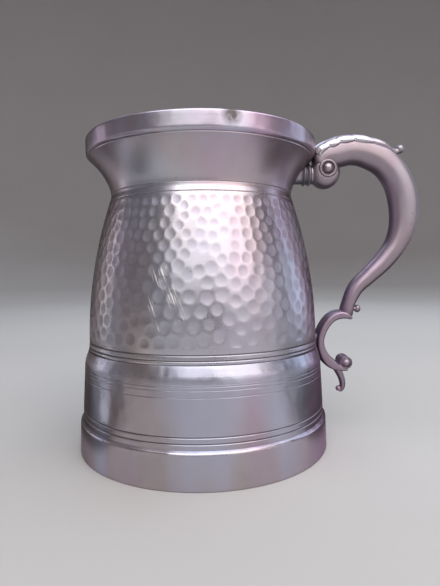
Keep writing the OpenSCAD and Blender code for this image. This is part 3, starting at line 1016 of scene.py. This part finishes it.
def make_handle():
    """The handle's pieces from the top down, cut to the body where they meet it."""
    body = body_plug()
    side = ROLL_W / 2
    half = END_ROLL_W / 2
    # The eye balls are painted lighter than the roll: partly a rubbed boss, partly a painted highlight.
    cast_piece("upper_roll_cast", "upper_roll", [
        turned_along("y", ROLL, both_ends([
            (0, side - 0.5), (2.0, side - 0.5), (3.4, side - 0.6), (4.4, side - 1.0),
            (5.2, side - 1.7), (5.75, side - 2.7), (ROLL_R, side - 4.0),
        ])),
        *[hoop(EYE + [0, way * (side - 0.55), 0], 3.0, 0.55) for way in (-1, 1)],
        *[ball(EYE + [0, way * (side - 0.75), 0], EYE_R) for way in (-1, 1)],
    ], grime=dark_ring_round(EYE, 2.35, 0.35, side - 1.3), voxel=0.13,
        wear=lambda v: np.where(np.hypot(v[:, 0] - EYE[0], v[:, 2] - EYE[2]) < EYE_R, 1.0, 0.5))
    strut = [(0, STRUT_START)]
    for x in np.arange(STRUT_START, STRUT_END + 0.01, 0.1):
        ring = sum(0.85 * math.exp(-((x - c) / 0.5) ** 2) for c in STRUT_RINGS)
        strut.append((STRUT_R - 0.05 + ring, x))
    strut.append((0, STRUT_END))
    cast_piece("upper_strut_cast", "upper_strut", [
        turned_along("x", (0, 0, STRUT_H), strut),
    ], voxel=0.2, cut=[body],
        grime=lambda v: sum(d * np.exp(-((v[:, 0] - x) / 0.4) ** 2) for x, d in ((42.6, 0.6), (40.6, 0.5))))
    cast_piece("handle_scroll_cast", "handle_scroll", [
        bar(ARCH, per=16, sides=96, square=ARCH_FLAT, section=crowned),
    ], voxel=0.16, rounds=3, cut=[body],
        grime=lambda v: 0.5 * np.exp(-np.clip(v[:, 2] - 52.0, 0, None) / 0.8) * (v[:, 0] < 66))
    # The leaf is painted lighter towards its root: partly worn, partly a painted highlight.
    cast_piece("leaf_cap_cast", "leaf_cap", [
        leaf_blade(),
        bar(LEAF_TIP, square=2.2),
        ball(BUD, 1.75),
    ], voxel=0.13, cut=[body, *leaf_pits()], material=WORN_AND_SHEEN_CAST,
        wear=lambda v: np.clip((77 - v[:, 0]) / 14, 0.15, 1))
    cast_piece("spur_bud_cast", "spur_bud", [
        bar([(61.0, 53.4, 2.6, 3.0), (62.2, 53.2, 2.0, 2.4), (63.4, 53.1, 1.8, 2.0)], square=2.0),
        ball(SPUR, 1.4, (1, 1, 1.15)),
    ], voxel=0.12)
    cast_piece("lower_scroll_cast", "lower_scroll", [
        bar(C_SCROLL, square=4.5, sides=72),
        bar(LIP, square=2.2),
        turned_along("y", END_ROLL, both_ends([
            (0, half - 0.5), (1.9, half - 0.3), (2.3, half - 0.1), (END_ROLL_R, half - 0.6),
        ])),
        *[ball(END_ROLL + [0, way * (half - 0.8), 0], 1.85) for way in (-1, 1)],
    ], voxel=0.13, cut=[body], grime=dark_ring_round(END_ROLL, 2.1, 0.3, half - 0.9))
    # The lug is painted darker all over: painted shade for the shadow it sits in behind the strap.
    cast_piece("lower_lug_solder", "lower_lug", [
        bar([(44.5, 40.2, 5.6, 5.0), (47.2, 40.2, 5.6, 5.0)], square=3.2, cap=0.02),
    ], voxel=0.18, cut=[body], material=SOLDER, grime=even(0.5))
    cast_piece("tail_curl_cast", "tail_curl", [
        bar(TAIL, square=2.3),
        ball((56.1, 0, 19.8), 1.15),
    ], voxel=0.12)


# ---------------------------------------------------------------- studio

def plain(name, colour, rough, scale):
    """Matt material, a little cloudy."""
    g = Graph(name)
    cloud = g.noise(g.scaled(1, 1, 1), scale, 3, 0.5)
    shade = g.blend(g.ramp(cloud, 0.3, 0.7), tuple(c * 0.97 for c in colour), colour)
    shader = g.add("ShaderNodeBsdfPrincipled")
    g.link(shade, shader.inputs["Base Color"])
    shader.inputs["Roughness"].default_value = rough
    out = g.add("ShaderNodeOutputMaterial")
    g.tree.links.new(shader.outputs["BSDF"], out.inputs["Surface"])
    return g.material


def make_floor():
    """Pale floor that sweeps up into a backdrop all round."""
    line = [(0, 0), (0.9, 0), (1.2, 0.02), (1.45, 0.12), (1.6, 0.3), (1.66, 0.6), (1.66, 1.6)]
    turns = 96
    verts = [(0, 0, 0)]
    for r, z in line[1:]:
        for k in range(turns):
            a = 2 * math.pi * k / turns
            verts.append((r * math.cos(a), r * math.sin(a), z))
    faces = [[0, 1 + k, 1 + (k + 1) % turns] for k in range(turns)]
    for i in range(len(line) - 2):
        a, b = 1 + i * turns, 1 + (i + 1) * turns
        faces += [[a + k, b + k, b + (k + 1) % turns, a + (k + 1) % turns] for k in range(turns)]
    mesh = bpy.data.meshes.new("floor")
    mesh.from_pydata(verts, [], faces)
    mesh.polygons.foreach_set("use_smooth", [True] * len(mesh.polygons))
    floor = bpy.data.objects.new("floor", mesh)
    bpy.context.collection.objects.link(floor)
    mesh.materials.append(plain("floor_mat", (0.48, 0.47, 0.46), 0.9, 6))


def softbox(name, azimuth, elevation, distance, width, height, brightness, colour):
    """Area light aimed at the tankard's middle, with its brightness as seen. Azimuth 0 is in front, 90 to
    the right."""
    data = bpy.data.lights.new(name, "AREA")
    data.shape = "RECTANGLE"
    data.size = width
    data.size_y = height
    data.energy = brightness * math.pi * width * height
    data.color = colour
    lamp = bpy.data.objects.new(name, data)
    bpy.context.collection.objects.link(lamp)
    a, e = math.radians(azimuth), math.radians(elevation)
    way = Vector((math.sin(a) * math.cos(e), -math.cos(a) * math.cos(e), math.sin(e)))
    lamp.location = Vector((0, 0, 0.06)) + way * distance
    lamp.rotation_euler = way.to_track_quat("Z", "Y").to_euler()
    return lamp


def ground_strip(name, start, end, width, brightness, colour):
    """Narrow light lying on the floor between two (x, y) places, seen in reflections only."""
    start, end = Vector((*start, 0.004)), Vector((*end, 0.004))
    length = (end - start).length
    lamp = softbox(name, 0, 0, 1.0, length, width, brightness, colour)
    lamp.location = (start + end) / 2
    lamp.rotation_euler = (math.pi, 0, math.atan2(end.y - start.y, end.x - start.x))
    lamp.visible_camera = False


def show_in_reflections(name, verts, faces):
    """Dark card that shows only in the metal's reflections."""
    mesh = bpy.data.meshes.new(name)
    mesh.from_pydata([tuple(v) for v in verts], [], faces)
    card = bpy.data.objects.new(name, mesh)
    bpy.context.collection.objects.link(card)
    mesh.materials.append(plain(name + "_mat", (0.055, 0.05, 0.042), 0.95, 8))
    card.visible_camera = False
    card.visible_diffuse = False
    card.visible_shadow = False


def flag(name, azimuth, distance, width, height):
    """Upright dark card that darkens one side of the tankard."""
    a = math.radians(azimuth)
    out = Vector((math.sin(a), -math.cos(a), 0))
    across = out.cross(Vector((0, 0, 1))) * width / 2
    foot = out * distance
    rise = Vector((0, 0, height))
    corners = [foot - across, foot + across, foot + across + rise, foot - across + rise]
    show_in_reflections(name, corners, [(0, 1, 2, 3)])


def floor_card(name, near, far, start, end):
    """Dark ring on the floor round the tankard, from one azimuth to another, seen in reflections only."""
    turns = 72
    start, end = math.radians(start), math.radians(end)
    verts = []
    for k in range(turns + 1):
        a = start + (end - start) * k / turns
        verts += [(math.sin(a) * r, -math.cos(a) * r, 0.002) for r in (near, far)]
    faces = [(2 * k, 2 * k + 1, 2 * k + 3, 2 * k + 2) for k in range(turns)]
    show_in_reflections(name, verts, faces)


def make_lights():
    """A wide warm key in front, brighter on the right, a low front fill, cool lights over the top and
    behind, a blue fill from the right and thin strips on the left. Dark cards stand behind and lie on the
    floor."""
    world = bpy.data.worlds.new("studio")
    bpy.context.scene.world = world
    world.use_nodes = True
    back = world.node_tree.nodes["Background"]
    back.inputs["Color"].default_value = (0.30, 0.258, 0.29, 1)
    back.inputs["Strength"].default_value = 0.8
    softbox("key", 34, 37, 0.9, 0.70, 0.76, 2.0, (1.0, 0.93, 0.85))
    softbox("key_left", -10, 34, 0.9, 0.58, 0.72, 1.45, (1.0, 0.96, 0.93))
    softbox("front_low", 50, 9, 0.95, 0.95, 0.24, 0.9, (1.0, 0.95, 0.95))
    softbox("top", 26, 72, 0.8, 1.25, 0.7, 2.1, (0.92, 0.95, 1.0))
    softbox("back_top", 170, 47, 1.0, 1.6, 0.5, 2.1, (0.76, 0.88, 1.0))
    softbox("right_blue", 110, 16, 0.9, 0.42, 0.6, 1.15, (0.74, 0.85, 1.0))
    softbox("left_strip", -103, 10, 0.42, 0.018, 0.24, 4.5, (0.97, 0.97, 1.0))
    ground_strip("left_ground", (-0.085, -0.026), (-0.30, 0.017), 0.009, 2.4, (0.97, 0.97, 1.0))
    flag("left_flag", -148, 0.6, 0.32, 0.6)
    flag("right_flag", 150, 0.6, 0.42, 0.6)
    floor_card("floor_card", 0.060, 0.32, 72, 302)
    bpy.context.scene.view_settings.view_transform = "Standard"


def make_camera():
    """The camera looks along the photograph's line of sight, a little from above."""
    spot = Vector((7.15, -190.3, 69.6)) * MM
    forward = Vector((-0.0005, 0.9988, -0.0499)).normalized()
    up = Vector((0.0105, 0.0499, 0.9987))
    right = forward.cross(up).normalized()
    up = right.cross(forward)
    data = bpy.data.cameras.new("camera")
    data.lens = 28.27
    data.sensor_width = 36.0
    data.clip_start = 0.01
    data.clip_end = 10.0
    camera = bpy.data.objects.new("camera", data)
    bpy.context.collection.objects.link(camera)
    turn = Matrix((right, up, -forward)).transposed().to_4x4()
    camera.matrix_world = Matrix.Translation(spot) @ turn
    bpy.context.scene.camera = camera


make_camera()
make_lights()
make_floor()
make_barrel()
make_rings()
make_bottom()
solder_bead("bottom_solder_bead", "bottom_solder", DISC_R, BOTTOM_H, 2.0)
make_handle()
# The solder inside the shoulder keeps its CAD shape
hidden_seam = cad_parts["shoulder_solder"].data
hidden_seam.materials.clear()
hidden_seam.materials.append(SOLDER)
